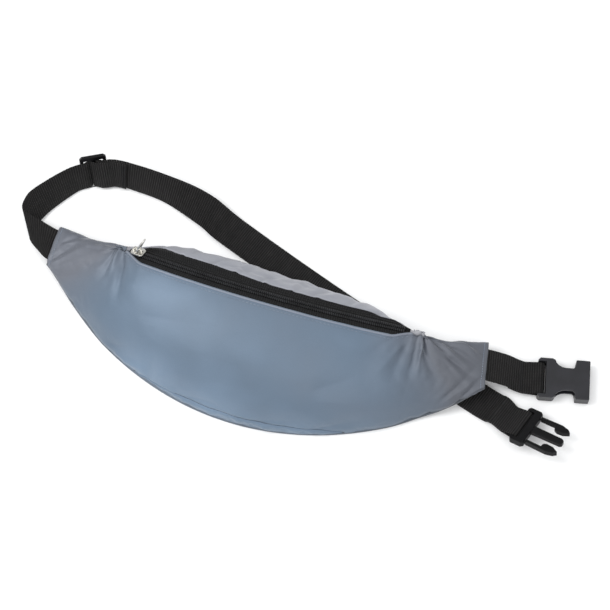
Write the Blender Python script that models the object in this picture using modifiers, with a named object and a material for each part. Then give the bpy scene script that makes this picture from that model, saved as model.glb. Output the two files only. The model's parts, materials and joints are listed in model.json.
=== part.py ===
"""Waist bag, lying on its back with its belt unbuckled: +X along the bag, +Y towards the zip side, +Z up.

The origin is the middle of the back panel, on the face that it lies on. Sizes are in metres.
"""

import math

import bmesh
import bpy
from mathutils import Matrix, Vector

MM = 0.001
HALF_LENGTH = 176 * MM  # from the middle to the seam that holds each end of the belt
LOWEST_EDGE = -64 * MM  # the lower edge's lowest point, in Y
SEAM_LOW, SEAM_HIGH = 15 * MM, 46 * MM  # the end seam's two corners, in Y
CLOTH = 1.1 * MM
GAP = 0.4 * MM  # between pieces that touch

ZIP_HALF = 114 * MM  # half the zip, measured along X
ZIP_SAG = 18 * MM  # how far the zip's middle stands out of the line between its ends
ZIP_MIDDLE = Vector((0, 22.3 * MM, 52.6 * MM))
OUT = Vector((0, -10, 15)).normalized()  # the way the zip's middle stands out
ZIP_AXIS = Vector((0, OUT.z, -OUT.y))
ZIP_RADIUS = (ZIP_HALF**2 + ZIP_SAG**2) / (2 * ZIP_SAG)
ZIP_ANGLE = math.asin(ZIP_HALF / ZIP_RADIUS)
ZIP_CENTRE = ZIP_MIDDLE - ZIP_RADIUS * OUT
SLIDER_ANGLE = -0.905 * ZIP_ANGLE  # where the slider stands: the zip's left end
TAPE_TILT = math.radians(35.1)  # from OUT down to the front panel's lip
TAPE_INNER, TAPE_BEND, TAPE_OUTER, TAPE = 0.95 * MM, 9.0 * MM, 12.2 * MM, 0.8 * MM
TAPE_DIP = 2.3 * MM  # how far the tape's outer edge dips under the panel that it is sewn to
COIL_RADIUS, COIL_OFFSET = 0.9 * MM, 1.75 * MM

BELT_WIDTH, WEBBING = 25.4 * MM, 1.3 * MM
LAYER = 1.7 * MM  # from one layer of webbing to the next
BAR_RADIUS = 1.6 * MM
LOOP_RADIUS = BAR_RADIUS + 0.35 * MM + WEBBING / 2
END_LIFT = {-1: 5 * MM, 1: 9 * MM}  # how far each end of the bag stands off the ground
BELT_RISE = 3.5 * MM  # how far the back panel rides up over the two layers of belt under it
BELT_UNDER = (Vector((-44, 83.9, 0)) * MM, Vector((171.8, 9.5, 0)) * MM)
SKEW_FROM = 130 * MM  # the right end is askew from here on
SKEW = Vector((-6.2, 3.7)) * MM  # and its seam's upper corner is pulled this far

FEMALE_BAR = Vector((214.6, 37.2, 5.1)) * MM
FEMALE_TURN = math.radians(12.5)
MALE_BAR = Vector((210.4, -4, 8.3)) * MM
MALE_ACROSS = Vector((0.287, 0.925, -0.25)).normalized()
MALE_ALONG = Vector((0.945, -0.23, 0.23))

# Cross-sections of the bag's outer surface, (Y, Z) in millimetres from the lower seam over the front, the zip
# (its two lips are points 5 and 7) and the top panel to the upper seam.
MIDDLE = [(-64, 1.9), (-62.5, 13), (-53, 31), (-35, 46), (-12, 55), (14, 58),
          (23, 54.5), (32, 51), (43.5, 42), (51, 29), (53.5, 14), (51.5, 1.9)]
AT_ZIP_END = [(-32.5, 1.9), (-31.5, 9), (-24, 21), (-11, 31), (5, 38.5), (24, 43),
              (33, 39.5), (42, 36), (44.9, 30.4), (46, 21.5), (45.8, 11), (44, 1.9)]
IN_WING = [(-10.5, 1.9), (-9.5, 6.5), (-4, 13), (5, 19), (15, 23), (25, 25),
           (30, 25), (35, 23.5), (39.5, 20), (42, 15), (43, 8.5), (42.5, 1.9)]
AT_SEAM = [(14.6, 5), (15.1, 6.3), (17.2, 7.2), (21, 7.7), (25.5, 7.9), (30.5, 8),
           (34, 8), (38, 7.9), (41.5, 7.7), (44.5, 7.2), (46.1, 6.3), (46.5, 5)]
WING_X = 145 * MM
LIP, UPPER_LIP, TOP_SEAM = 5, 7, 11
GUSSET_HALF = 84 * MM  # half the length of the narrow panel along the lower seam
GUSSET_HEIGHT = 0.95  # its height at the middle, in steps of the cross-section
NOTCH = 117 * MM  # the front panel closes over the top beyond here


# ---------------------------------------------------------------- helpers

def clear_scene():
    for obj in list(bpy.data.objects):
        bpy.data.objects.remove(obj, do_unlink=True)


def collection(name):
    made = bpy.data.collections.new(name)
    bpy.context.scene.collection.children.link(made)
    return made


def material(name, colour, roughness, metallic=0.0):
    made = bpy.data.materials.new(name)
    made.use_nodes = True
    shader = made.node_tree.nodes["Principled BSDF"]
    shader.inputs["Base Color"].default_value = (*colour, 1)
    shader.inputs["Roughness"].default_value = roughness
    shader.inputs["Metallic"].default_value = metallic
    return made


def add(name, mesh, finish, place=None, smooth=True):
    """A named object in the bag's collection, from a mesh or a bmesh."""
    if isinstance(mesh, bmesh.types.BMesh):
        data = bpy.data.meshes.new(name)
        mesh.to_mesh(data)
        mesh.free()
        mesh = data
    obj = bpy.data.objects.new(name, mesh)
    obj.data.materials.clear()
    obj.data.materials.append(finish)
    if place:
        obj.matrix_world = place
    if smooth:
        obj.data.shade_smooth()
        obj.data.set_sharp_from_angle(angle=math.radians(40))
    PARTS.objects.link(obj)
    return obj


def frame(origin, along, across):
    """A place whose local X is along, Y is as near across as it can be, and Z is up from both."""
    x = along.normalized()
    z = x.cross(across).normalized()
    y = z.cross(x)
    return Matrix.Translation(origin) @ Matrix((x, y, z)).transposed().to_4x4()


def baked(obj, weld=False):
    """The object's evaluated mesh in triangles, with a curve's caps welded on."""
    graph = bpy.context.evaluated_depsgraph_get()
    mesh = bpy.data.meshes.new_from_object(obj.evaluated_get(graph))
    shape = bmesh.new()
    shape.from_mesh(mesh)
    if weld:
        bmesh.ops.remove_doubles(shape, verts=shape.verts, dist=1e-6)
        bmesh.ops.recalc_face_normals(shape, faces=shape.faces)
    else:
        bmesh.ops.triangulate(shape, faces=shape.faces)
    shape.to_mesh(mesh)
    shape.free()
    return mesh


def outline_mesh(outline, thickness, holes=(), bevel=0.0):
    """A flat plate in local X and Y, centred on Z = 0, with rounded edges where bevel is given."""
    curve = bpy.data.curves.new("outline", "CURVE")
    curve.dimensions = "2D"
    curve.fill_mode = "BOTH"
    curve.extrude = thickness / 2
    for ring in (outline, *holes):
        spline = curve.splines.new("POLY")
        spline.points.add(len(ring) - 1)
        for point, (x, y) in zip(spline.points, ring):
            point.co = (x, y, 0, 1)
        spline.use_cyclic_u = True
    obj = bpy.data.objects.new("outline", curve)
    bpy.context.scene.collection.objects.link(obj)
    mesh = baked(obj, weld=True)
    bpy.data.objects.remove(obj)
    if bevel:
        solid = bpy.data.objects.new("solid", mesh)
        bpy.context.scene.collection.objects.link(solid)
        rounding = solid.modifiers.new("Bevel", "BEVEL")
        rounding.width = bevel
        rounding.segments = 2
        rounding.angle_limit = math.radians(50)
        mesh = baked(solid)
        bpy.data.objects.remove(solid)
    return mesh


def box_mesh(low, high, bevel=0.0):
    (x0, y0, z0), (x1, y1, z1) = low, high
    mesh = outline_mesh([(x0, y0), (x1, y0), (x1, y1), (x0, y1)], z1 - z0, bevel=bevel)
    mesh.transform(Matrix.Translation((0, 0, (z0 + z1) / 2)))
    return mesh


def rod_mesh(radius, start, end, sides=16):
    shape = bmesh.new()
    way = Vector(end) - Vector(start)
    turn = way.to_track_quat("Z", "Y").to_matrix().to_4x4()
    place = Matrix.Translation((Vector(start) + Vector(end)) / 2) @ turn
    bmesh.ops.create_cone(shape, cap_ends=True, segments=sides, radius1=radius, radius2=radius,
                          depth=way.length, matrix=place)
    mesh = bpy.data.meshes.new("rod")
    shape.to_mesh(mesh)
    shape.free()
    return mesh


def combined(mesh, others, operation):
    """The mesh with the others joined to it or cut from it, one by one."""
    for other in others:
        base = bpy.data.objects.new("base", mesh)
        tool = bpy.data.objects.new("tool", other)
        CUTTERS.objects.link(tool)
        tool.hide_render = True
        tool.display_type = "WIRE"
        bpy.context.scene.collection.objects.link(base)
        change = base.modifiers.new("Boolean", "BOOLEAN")
        change.operation = operation
        change.object = tool
        bpy.context.view_layer.update()
        mesh = baked(base)
        bpy.data.objects.remove(base)
        bpy.data.objects.remove(tool)
    return mesh


def grid_object(name, rows, finish, thickness, kept=None):
    """A cloth panel: a grid of points made into a surface, and thickened inwards."""
    shape = bmesh.new()
    made = [[shape.verts.new(point) if point else None for point in row] for row in rows]
    for i in range(len(rows) - 1):
        for j in range(len(rows[0]) - 1):
            if kept and not kept(i, j):
                continue
            shape.faces.new((made[i][j], made[i + 1][j], made[i + 1][j + 1], made[i][j + 1]))
    loose = [vert for vert in shape.verts if not vert.link_faces]
    bmesh.ops.delete(shape, geom=loose, context="VERTS")
    panel = add(name, shape, finish)
    skin = panel.modifiers.new("Solidify", "SOLIDIFY")
    skin.thickness = thickness
    skin.offset = -1
    skin.use_even_offset = True
    return panel


# ---------------------------------------------------------------- the bag's shape

def smooth(value):
    value = min(max(value, 0), 1)
    return value * value * (3 - 2 * value)


def end_lift(x):
    """How far the bag stands off the ground at x."""
    return END_LIFT[1 if x > 0 else -1] * smooth((abs(x) - 0.66 * HALF_LENGTH) / (0.34 * HALF_LENGTH))


def belt_rise(x, y):
    """How far the cloth rides up over the belt under it."""
    start, end = BELT_UNDER
    way = (end - start).normalized()
    off = Vector((x, y, 0)) - start
    distance = (off - way * off.dot(way)).length
    return BELT_RISE * (1 - smooth((distance - 20 * MM) / (13 * MM)))


def skewed(x, y):
    """A place in plan, moved as far as the right end is askew there."""
    share = smooth((x - SKEW_FROM) / (HALF_LENGTH - SKEW_FROM)) * (y - SEAM_LOW) / (SEAM_HIGH - SEAM_LOW)
    return Vector((x, y)) + SKEW * share


def draped(x, y, z):
    """A point of cloth, moved up by what lies under it. The effect of the belt fades with height."""
    place = skewed(x, y)
    rise = belt_rise(*place) * (1 - smooth((z - 3 * MM) / (26 * MM)))
    return Vector((*place, z + math.hypot(end_lift(x), rise)))


def catmull(before, start, end, after, t):
    return 0.5 * (2 * start + (end - before) * t + (2 * before - 5 * start + 4 * end - after) * t * t
                  + (3 * start - before - 3 * end + after) * t**3)


def bow(x):
    """0 at the zip's middle, 1 at its ends: the share of the arc's sag."""
    return (ZIP_RADIUS - math.sqrt(ZIP_RADIUS**2 - x * x)) / ZIP_SAG


def section(x):
    """The cross-section's control points at x, as (Y, Z) vectors in metres."""
    x = min(abs(x), HALF_LENGTH)
    middle, zip_end, wing, seam = ([Vector(p) * MM for p in ring] for ring in (MIDDLE, AT_ZIP_END, IN_WING, AT_SEAM))
    if x <= ZIP_HALF:
        share = bow(x)
        return [a + (b - a) * share for a, b in zip(middle, zip_end)]
    step = WING_X - ZIP_HALF
    if x <= WING_X:
        t = (x - ZIP_HALF) / step
        share = bow(ZIP_HALF - step)
        before = [a + (b - a) * share for a, b in zip(middle, zip_end)]
        return [catmull(a, b, c, d, t) for a, b, c, d in zip(before, zip_end, wing, seam)]
    t = (x - WING_X) / (HALF_LENGTH - WING_X)
    return [catmull(a, b, c, c + (c - b) * 0.6, t) for a, b, c in zip(zip_end, wing, seam)]


def surface(x, k):
    """The bag's outer surface at x, k steps along the cross-section."""
    ring = section(x)
    i = min(int(k), TOP_SEAM - 1)
    before = ring[i - 1] if i else 2 * ring[0] - ring[1]
    after = ring[i + 2] if i + 2 <= TOP_SEAM else 2 * ring[-1] - ring[-2]
    y, z = catmull(before, ring[i], ring[i + 1], after, k - i)
    return draped(x, y, z)


def spread(low, high, count):
    return [low + (high - low) * i / count for i in range(count + 1)]


# ---------------------------------------------------------------- cloth panels

def gusset_top(x):
    """Where the panel along the lower seam ends, in steps of the cross-section."""
    return GUSSET_HEIGHT * math.sqrt(max(0, 1 - (x / GUSSET_HALF) ** 2)) if abs(x) < GUSSET_HALF else 0


def front_panel(finish):
    inner = spread(-ZIP_HALF, ZIP_HALF, 22)
    ends = [NOTCH, 125 * MM, 134 * MM, 143 * MM, 152 * MM, 161 * MM, 169 * MM, HALF_LENGTH]
    xs = [-x for x in reversed(ends)] + inner + ends
    rows = []
    for x in xs:
        low = gusset_top(x) + (0.05 if abs(x) < GUSSET_HALF else 0)
        rows.append([surface(x, k) for k in spread(low, LIP, 10) + spread(LIP, TOP_SEAM, 9)[1:]])
    first, last = len(ends) - 1, len(ends) + len(inner) - 1

    def kept(i, j):
        return j < 10 or i < first or i > last

    return grid_object("front_panel", rows, finish, CLOTH, kept)


def top_panel(finish):
    xs = spread(-NOTCH + 0.6 * MM, NOTCH - 0.6 * MM, 22)
    rows = [[surface(x, k) for k in spread(UPPER_LIP, TOP_SEAM, 7)] for x in xs]
    return grid_object("top_panel", rows, finish, CLOTH)


def bottom_gusset(finish):
    xs = spread(-GUSSET_HALF * 0.97, GUSSET_HALF * 0.97, 16)
    rows = [[surface(x, k) for k in spread(0, gusset_top(x) - 0.05, 3)] for x in xs]
    return grid_object("bottom_gusset", rows, finish, CLOTH)


def back_panel(finish):
    """The flat panel against the wearer, a crescent that rides up over the belt."""
    thickness = 1 * MM
    rows = []
    for x in spread(-HALF_LENGTH, HALF_LENGTH, 44):
        ring = section(x)
        margin = 0.8 * MM
        top = ring[0].y - 0.9 * MM
        rows.append([draped(x, y, 0) + Vector((0, 0, top))
                     for y in spread(ring[0].x - margin, ring[-1].x + margin, 14)])
    return grid_object("back_panel", rows, finish, thickness)


def seam_binding(finish):
    """The tape bound round the lower seam's raw edges, inside the bag."""
    rows = []
    for x in spread(-118 * MM, 118 * MM, 26):
        y = section(x)[0].x
        rise = draped(x, y + 4 * MM, 0).z + 1.5 * MM
        rows.append([Vector((x, y + 3.5 * MM, rise)), Vector((x, y + 8.5 * MM, rise))])
    shape = bmesh.new()
    made = [[shape.verts.new(point + Vector((0, 0, 0.9 * MM))) for point in row] for row in rows]
    for a, b in zip(made, made[1:]):
        shape.faces.new((a[0], b[0], b[1], a[1]))
    tape = add("seam_binding", shape, finish)
    skin = tape.modifiers.new("Solidify", "SOLIDIFY")
    skin.thickness = 0.9 * MM
    skin.offset = -1
    return tape


# ---------------------------------------------------------------- zip

def zip_frame(angle):
    """A place on the zip: local X along the chain, Y in the tape towards the top panel, Z out of the tape."""
    turn = Matrix.Rotation(angle, 3, ZIP_AXIS)
    out = turn @ OUT
    to_lip = math.cos(TAPE_TILT) * out - math.sin(TAPE_TILT) * ZIP_AXIS
    along = turn @ Vector((1, 0, 0))
    return frame(ZIP_CENTRE + ZIP_RADIUS * out, along, -to_lip)


def zip_point(angle, across, height):
    return zip_frame(angle) @ Vector((0, across, height))


def zip_tape(name, side, finish):
    profile = [(TAPE_INNER, 0), (TAPE_BEND, 0), (TAPE_OUTER, -TAPE_DIP)][::side]
    rows = [[zip_point(angle, side * across, TAPE / 2 + height) for across, height in profile]
            for angle in spread(-ZIP_ANGLE * 0.978, ZIP_ANGLE * 0.978, 26)]
    return grid_object(name, rows, finish, TAPE)


def zip_coil(name, side, finish):
    curve = bpy.data.curves.new(name, "CURVE")
    curve.dimensions = "3D"
    curve.bevel_depth = COIL_RADIUS
    curve.bevel_resolution = 2
    curve.use_fill_caps = True
    spline = curve.splines.new("POLY")
    places = spread(-ZIP_ANGLE * 0.96, ZIP_ANGLE * 0.96, 30)
    spline.points.add(len(places) - 1)
    height = TAPE / 2 + COIL_RADIUS + 0.3 * MM
    for point, angle in zip(spline.points, places):
        point.co = (*zip_point(angle, side * COIL_OFFSET, height), 1)
    obj = bpy.data.objects.new(name, curve)
    curve.materials.append(finish)
    PARTS.objects.link(obj)
    return obj


SLIDER_FLOOR = -TAPE / 2 - 0.3 * MM
SLIDER_ROOF = TAPE / 2 + 2 * COIL_RADIUS + 0.65 * MM
PIVOT_HEIGHT = SLIDER_ROOF + 2.32 * MM


def zip_slider(finish):
    """Two plates joined by a post, which travels between the coils, with a bridge for the pull on top."""
    plan = [(-5.4, -2.2), (-4.2, -4.1), (3.6, -4.1), (5.2, -3.1), (5.2, 3.1), (3.6, 4.1), (-4.2, 4.1), (-5.4, 2.2)]
    plan = [(x * MM, y * MM) for x, y in plan]
    roof = outline_mesh(plan, 1.2 * MM, bevel=0.3 * MM)
    roof.transform(Matrix.Translation((0, 0, SLIDER_ROOF + 0.6 * MM)))
    floor = outline_mesh(plan, 1.1 * MM, bevel=0.3 * MM)
    floor.transform(Matrix.Translation((0, 0, SLIDER_FLOOR - 0.55 * MM)))
    post = box_mesh((-4 * MM, -0.42 * MM, SLIDER_FLOOR - 0.6 * MM), (0.5 * MM, 0.42 * MM, SLIDER_ROOF + 0.6 * MM))
    outer = [(-4.2, 0), (-4.2, 2.6), (-3.0, 4.0), (3.0, 4.0), (4.2, 2.6), (4.2, 0)]
    inner = [(2.9, 0), (2.9, 2.0), (2.2, 2.75), (-2.2, 2.75), (-2.9, 2.0), (-2.9, 0)]
    bridge = outline_mesh([(x * MM, y * MM) for x, y in outer + inner], 1.5 * MM)
    bridge.transform(Matrix.Translation((0, 0, SLIDER_ROOF + 0.7 * MM)) @ Matrix.Rotation(math.pi / 2, 4, "X"))
    mesh = combined(roof, [bridge, post, floor], "UNION")
    return add("zip_slider", mesh, finish, zip_frame(SLIDER_ANGLE))


def zip_pull(finish):
    """A short tab whose crossbar passes under the slider's bridge."""
    tab = [(-0.6, -2.9), (5.0, -3.1), (11.5, -3.6), (13.4, -2.6), (14.2, 0),
           (13.4, 2.6), (11.5, 3.6), (5.0, 3.1), (-0.6, 2.9)]
    window = [(0.6, -1.7), (5.6, -1.7), (5.6, 1.7), (0.6, 1.7)]
    hole = [(9.9 + 1.5 * math.cos(a), 1.5 * math.sin(a)) for a in spread(0, 2 * math.pi, 12)[:-1]]
    scaled = [[(x * MM, y * MM) for x, y in ring] for ring in (tab, window, hole)]
    mesh = outline_mesh(scaled[0], 1.2 * MM, scaled[1:])
    lean = Matrix.Rotation(math.radians(-62), 4, "Y")
    place = zip_frame(SLIDER_ANGLE) @ Matrix.Translation((0, 0, PIVOT_HEIGHT)) @ lean
    return add("zip_pull", mesh, finish, place)


def zip_stop(name, angle, finish):
    mesh = box_mesh((-1.1 * MM, -3.4 * MM, -TAPE / 2 - 1.1 * MM), (1.1 * MM, 3.4 * MM, -TAPE / 2 - 0.3 * MM), 0.2 * MM)
    return add(name, mesh, finish, zip_frame(angle))


def end_tab(name, side, finish):
    """A folded tab of cloth sewn over each end of the zip."""
    rows = []
    for x in spread(side * (NOTCH - 2.8 * MM), side * (NOTCH + 7 * MM), 4)[:: side]:
        row = [surface(x, k) for k in spread(4.75, 7.6, 6)]
        rows.append([point + Vector((0, 0.25, 0.97)) * (CLOTH + 0.6 * MM) for point in row])
    return grid_object(name, rows, finish, 0.9 * MM)


# ---------------------------------------------------------------- webbing

class Lay:
    """The ruled surface that a strap lies on, from pairs of edge points along it."""

    def __init__(self, edges, straight=(), steps=14):
        self.points = []
        pairs = [(Vector(a), Vector(b)) for a, b in edges]
        self.length_at = []
        total = 0.0
        for i in range(len(pairs) - 1):
            four = [pairs[max(i - 1, 0)], pairs[i], pairs[i + 1], pairs[min(i + 2, len(pairs) - 1)]]
            self.length_at.append(total)
            for step in range(steps):
                t = step / steps
                one, other = (catmull(*(pair[side] for pair in four), t) for side in (0, 1))
                if i in straight:
                    one, other = (four[1][side].lerp(four[2][side], t) for side in (0, 1))
                if self.points:
                    total += ((one + other) / 2 - self.points[-1][1]).length
                self.points.append((total, (one + other) / 2, (one - other).normalized()))
        last = (pairs[-1][0] + pairs[-1][1]) / 2
        total += (last - self.points[-1][1]).length
        self.points.append((total, last, (pairs[-1][0] - pairs[-1][1]).normalized()))
        self.length_at.append(total)

    def at(self, s):
        """(middle, across, along, up) at a length s along the strap."""
        i = 0
        while i < len(self.points) - 2 and self.points[i + 1][0] < s:
            i += 1
        (s0, a, across0), (s1, b, across1) = self.points[i], self.points[i + 1]
        t = (s - s0) / (s1 - s0)
        across = across0.lerp(across1, min(max(t, 0), 1)).normalized()
        along = self.direction(i).lerp(self.direction(i + 1), min(max(t, 0), 1)).normalized()
        return a + (b - a) * t, across, along, along.cross(across).normalized()

    def direction(self, i):
        low, high = max(i - 1, 0), min(i + 1, len(self.points) - 1)
        return (self.points[high][1] - self.points[low][1]).normalized()


def strap(name, lay, path, finish, width=BELT_WIDTH, thickness=WEBBING):
    """Webbing along a path of (length, height) pairs over the surface that it lies on."""
    shape = bmesh.new()
    rings = []
    for i, (s, height) in enumerate(path):
        middle, across, along, up = lay.at(s)
        (s0, h0), (s1, h1) = path[max(i - 1, 0)], path[min(i + 1, len(path) - 1)]
        way = Vector((s1 - s0, h1 - h0)).normalized()
        face = (up * way.x - along * way.y) * thickness / 2
        side = across * width / 2
        centre = middle + up * height
        rings.append([shape.verts.new(p) for p in (centre + side + face, centre - side + face,
                                                   centre - side - face, centre + side - face)])
    for a, b in zip(rings, rings[1:]):
        for j in range(4):
            shape.faces.new((a[j], a[(j + 1) % 4], b[(j + 1) % 4], b[j]))
    shape.faces.new(rings[0][::-1])
    shape.faces.new(rings[-1])
    bmesh.ops.recalc_face_normals(shape, faces=shape.faces)
    return add(name, shape, finish)


def arc(centre, radius, start, end, count):
    """(length, height) points round a bar, with angles in degrees."""
    return [(centre[0] + radius * math.cos(math.radians(a)), centre[1] + radius * math.sin(math.radians(a)))
            for a in spread(start, end, count)]


def edges_round(middle, across):
    return (middle + across * BELT_WIDTH / 2, middle - across * BELT_WIDTH / 2)


MALE_PLACE = frame(MALE_BAR, MALE_ALONG, MALE_ACROSS)
FEMALE_PLACE = Matrix.Translation(FEMALE_BAR) @ Matrix.Rotation(FEMALE_TURN, 4, "Z")
# Where the long strap's two edges run, in millimetres: outer edge, then inner edge.
BELT_EDGES = [
    ((-163, 43.2, 9.0), (-163, 17.8, 9.0)),
    ((-176, 43.5, 10.4), (-176.5, 17.5, 10.4)),
    ((-192.5, 48, 12.7), (-185, 21, 9.3)),
    ((-210, 54.5, 17), (-192.5, 26, 6.5)),
    ((-210, 61.5, 20), (-195, 40.5, 2)),
    ((-203.5, 68.5, 22.6), (-191.5, 57.5, 1)),
    ((-188, 86, 24), (-180, 77, 0.9)),
    ((-175.7, 96.3, 24.2), (-170.9, 87.5, 0.9)),
    ((-155.2, 107.2, 24.2), (-150.4, 98.4, 0.9)),
    ((-132, 108.9, 24.2), (-132.8, 98.7, 0.9)),
    ((-101.5, 107.5, 22.3), (-104.2, 95.8, 0.9)),
    ((-70, 105.5, 14), (-75, 84.5, 0.85)),
    ((-40.5, 96.2, 2.2), (-48.5, 72.3, 0.8)),
    ((52.9, 62.3, 0.8), (44.7, 38.4, 0.8)),
    ((176, 21.4, 0.8), (167.6, -2.4, 0.8)),
    ((195.5, 15.9, 1.6), (187, -7.9, 4.6)),
]
ADJUSTER_RULING = 7  # the strap is straight from this pair of edges to the next
ADJUSTER_AT = 11.5 * MM  # the adjuster's middle, past that pair
ADJUSTER_BAR = 1.5 * MM
ADJUSTER_LOOP = ADJUSTER_BAR + 0.3 * MM + WEBBING / 2
ADJUSTER_UNDER = ADJUSTER_LOOP + WEBBING + 0.3 * MM


def long_belt_lay():
    up = MALE_PLACE.col[2].to_3d()
    base = MALE_BAR - up * LAYER / 2
    edges = [tuple(Vector(p) * MM for p in pair) for pair in BELT_EDGES]
    along = MALE_PLACE.col[0].to_3d()
    edges.append(edges_round(base - along * 9 * MM, MALE_PLACE.col[1].to_3d()))
    edges.append(edges_round(base + along * 5 * MM, MALE_PLACE.col[1].to_3d()))
    return Lay(edges, straight=(ADJUSTER_RULING, len(edges) - 2))


def long_belt(lay, finish):
    """One strap: left seam, adjuster, plug and back, ending in a sewn loop round the adjuster's bar."""
    bar = lay.length_at[-1] - 5 * MM
    slider = lay.length_at[ADJUSTER_RULING] + ADJUSTER_AT
    level = -(1.6 * MM + 0.35 * MM + WEBBING / 2)  # the adjuster's middle plane, under the strap
    middle = (slider, level)

    def at_slider(x, height):
        return (slider + x * MM, height * MM)

    path = [(s, 0) for s in spread(0, slider - 12 * MM, 46)]
    path += [at_slider(-9.5, 0), at_slider(-7.6, -0.15), at_slider(-6.0, -1.1)]
    path += arc(middle, ADJUSTER_UNDER, 172, 368, 14)
    path += [at_slider(6.0, -1.1), at_slider(7.6, -0.15), at_slider(9.5, 0)]
    outward = spread(slider + 13 * MM, bar - 10 * MM, 60)
    path += [(s, 0) for s in outward]
    path += arc((bar, LAYER / 2), LOOP_RADIUS, -112, 112, 12)
    path += [(s, LAYER) for s in reversed(outward)]
    path += [at_slider(9.5, 1.7), at_slider(6.2, 1.55), at_slider(4.3, 0.7), at_slider(3.1, -0.9)]
    path += arc(middle, ADJUSTER_LOOP, 0, -245, 14)
    path += [at_slider(1.3, 1.1), at_slider(4.0, 2.75), at_slider(7.5, 3.35)]
    path += [(s, 2 * LAYER) for s in spread(slider + 10 * MM, slider + 26 * MM, 4)]
    return strap("long_belt", lay, path, finish)


def short_belt(finish):
    """The right-hand strap, sewn into the seam, with its end turned back round the socket's bar."""
    along, across = (FEMALE_PLACE.col[i].to_3d() for i in (0, 1))
    base = FEMALE_BAR + Vector((0, 0, LAYER / 2))
    edges = [
        (Vector((161.2, 45.8, 13.5)) * MM, Vector((165.6, 18.1, 14.2)) * MM),
        (Vector((170.4, 46.8, 14.4)) * MM, Vector((175.9, 18.4, 14.9)) * MM),
        (Vector((186, 48, 11.5)) * MM, Vector((190, 21.5, 11)) * MM),
        edges_round(base - along * 12 * MM, across),
        edges_round(base + along * 5 * MM, across),
    ]
    lay = Lay(edges, straight=(len(edges) - 2,))
    bar = lay.length_at[-1] - 5 * MM
    path = [(s, 0) for s in spread(0, bar - 10 * MM, 16)]
    path += arc((bar, -LAYER / 2), LOOP_RADIUS, 112, -112, 12)
    path += [(s, -LAYER) for s in spread(bar - 10 * MM, bar - 24 * MM, 5)]
    strap("short_belt", lay, path, finish)
    return lay, bar


def bartack(name, lay, s, height, finish):
    """A dense row of stitches across a strap."""
    path = [(s - 0.8 * MM, height), (s + 0.8 * MM, height)]
    return strap(name, lay, path, finish, width=0.86 * BELT_WIDTH, thickness=0.5 * MM)


def adjuster(lay, finish):
    """A three-bar slider: two end bars and a round middle bar between two side rails."""
    s = lay.length_at[ADJUSTER_RULING] + ADJUSTER_AT
    middle, across, along, up = lay.at(s)
    level = -(1.6 * MM + 0.35 * MM + WEBBING / 2)
    half = BELT_WIDTH / 2 + 0.6 * MM
    outer = [(-10.5, -15.0), (-8.6, -16.8), (8.6, -16.8), (10.5, -15.0),
             (10.5, 15.0), (8.6, 16.8), (-8.6, 16.8), (-10.5, 15.0)]
    window = [(-7.6 * MM, -half), (7.6 * MM, -half), (7.6 * MM, half), (-7.6 * MM, half)]
    mesh = outline_mesh([(x * MM, y * MM) for x, y in outer], 3.2 * MM, [window], bevel=0.5 * MM)
    bar = rod_mesh(ADJUSTER_BAR, (0, -half - 2 * MM, 0), (0, half + 2 * MM, 0))
    mesh = combined(mesh, [bar], "UNION")
    return add("belt_adjuster", mesh, finish, frame(middle + up * level, along, across))


# ---------------------------------------------------------------- buckle

def socket(finish):
    """The buckle's socket: a flat sleeve with open sides, and a bar for its strap."""
    waist = [(19.4 - 8.6 * math.cos(math.radians(a)), 15.8 - 6.8 * math.sin(math.radians(a))) for a in spread(8, 90, 4)]
    upper = [(-2, 14.3), (-0.6, 15.8), (9.2, 15.8)] + waist + [(24.8, 9), (26.2, 10.6), (26.8, 15.8), (37.4, 15.8)]
    outline = upper + [(x, -y) for x, y in reversed(upper)]
    mesh = outline_mesh([(x * MM, y * MM) for x, y in outline], 9.6 * MM, bevel=0.6 * MM)
    strap_gap = box_mesh((-6 * MM, -13.2 * MM, -8 * MM), (4.1 * MM, 13.2 * MM, 8 * MM))
    cavity = box_mesh((11 * MM, -12.6 * MM, -2.9 * MM), (45 * MM, 12.6 * MM, 2.9 * MM))
    mesh = combined(mesh, [strap_gap, cavity], "DIFFERENCE")
    bar = rod_mesh(BAR_RADIUS, (0, -14.1 * MM, 0), (0, 14.1 * MM, 0))
    mesh = combined(mesh, [bar], "UNION")
    return add("buckle_socket", mesh, finish, FEMALE_PLACE)


def plug(finish):
    """The buckle's plug: a frame with a bar for its strap, and a guide prong in the middle."""
    upper = [(-2, 14.9), (-0.6, 16.7), (8.5, 16.7), (10.2, 15.2)]
    outline = upper + [(x, -y) for x, y in reversed(upper)]
    mesh = outline_mesh([(x * MM, y * MM) for x, y in outline], 5.6 * MM, bevel=0.6 * MM)
    strap_gap = box_mesh((-6 * MM, -13.4 * MM, -8 * MM), (4.1 * MM, 13.4 * MM, 8 * MM))
    mesh = combined(mesh, [strap_gap], "DIFFERENCE")
    bar = rod_mesh(BAR_RADIUS, (0, -14.3 * MM, 0), (0, 14.3 * MM, 0))
    half = [(9, 3.5), (12, 3.1), (33.5, 2.8), (35.5, 1.6)]
    tongue = half + [(x, -y) for x, y in reversed(half)]
    prong = outline_mesh([(x * MM, y * MM) for x, y in tongue], 4.2 * MM, bevel=0.5 * MM)
    mesh = combined(mesh, [bar, prong], "UNION")
    return add("buckle_plug", mesh, finish, MALE_PLACE)


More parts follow.
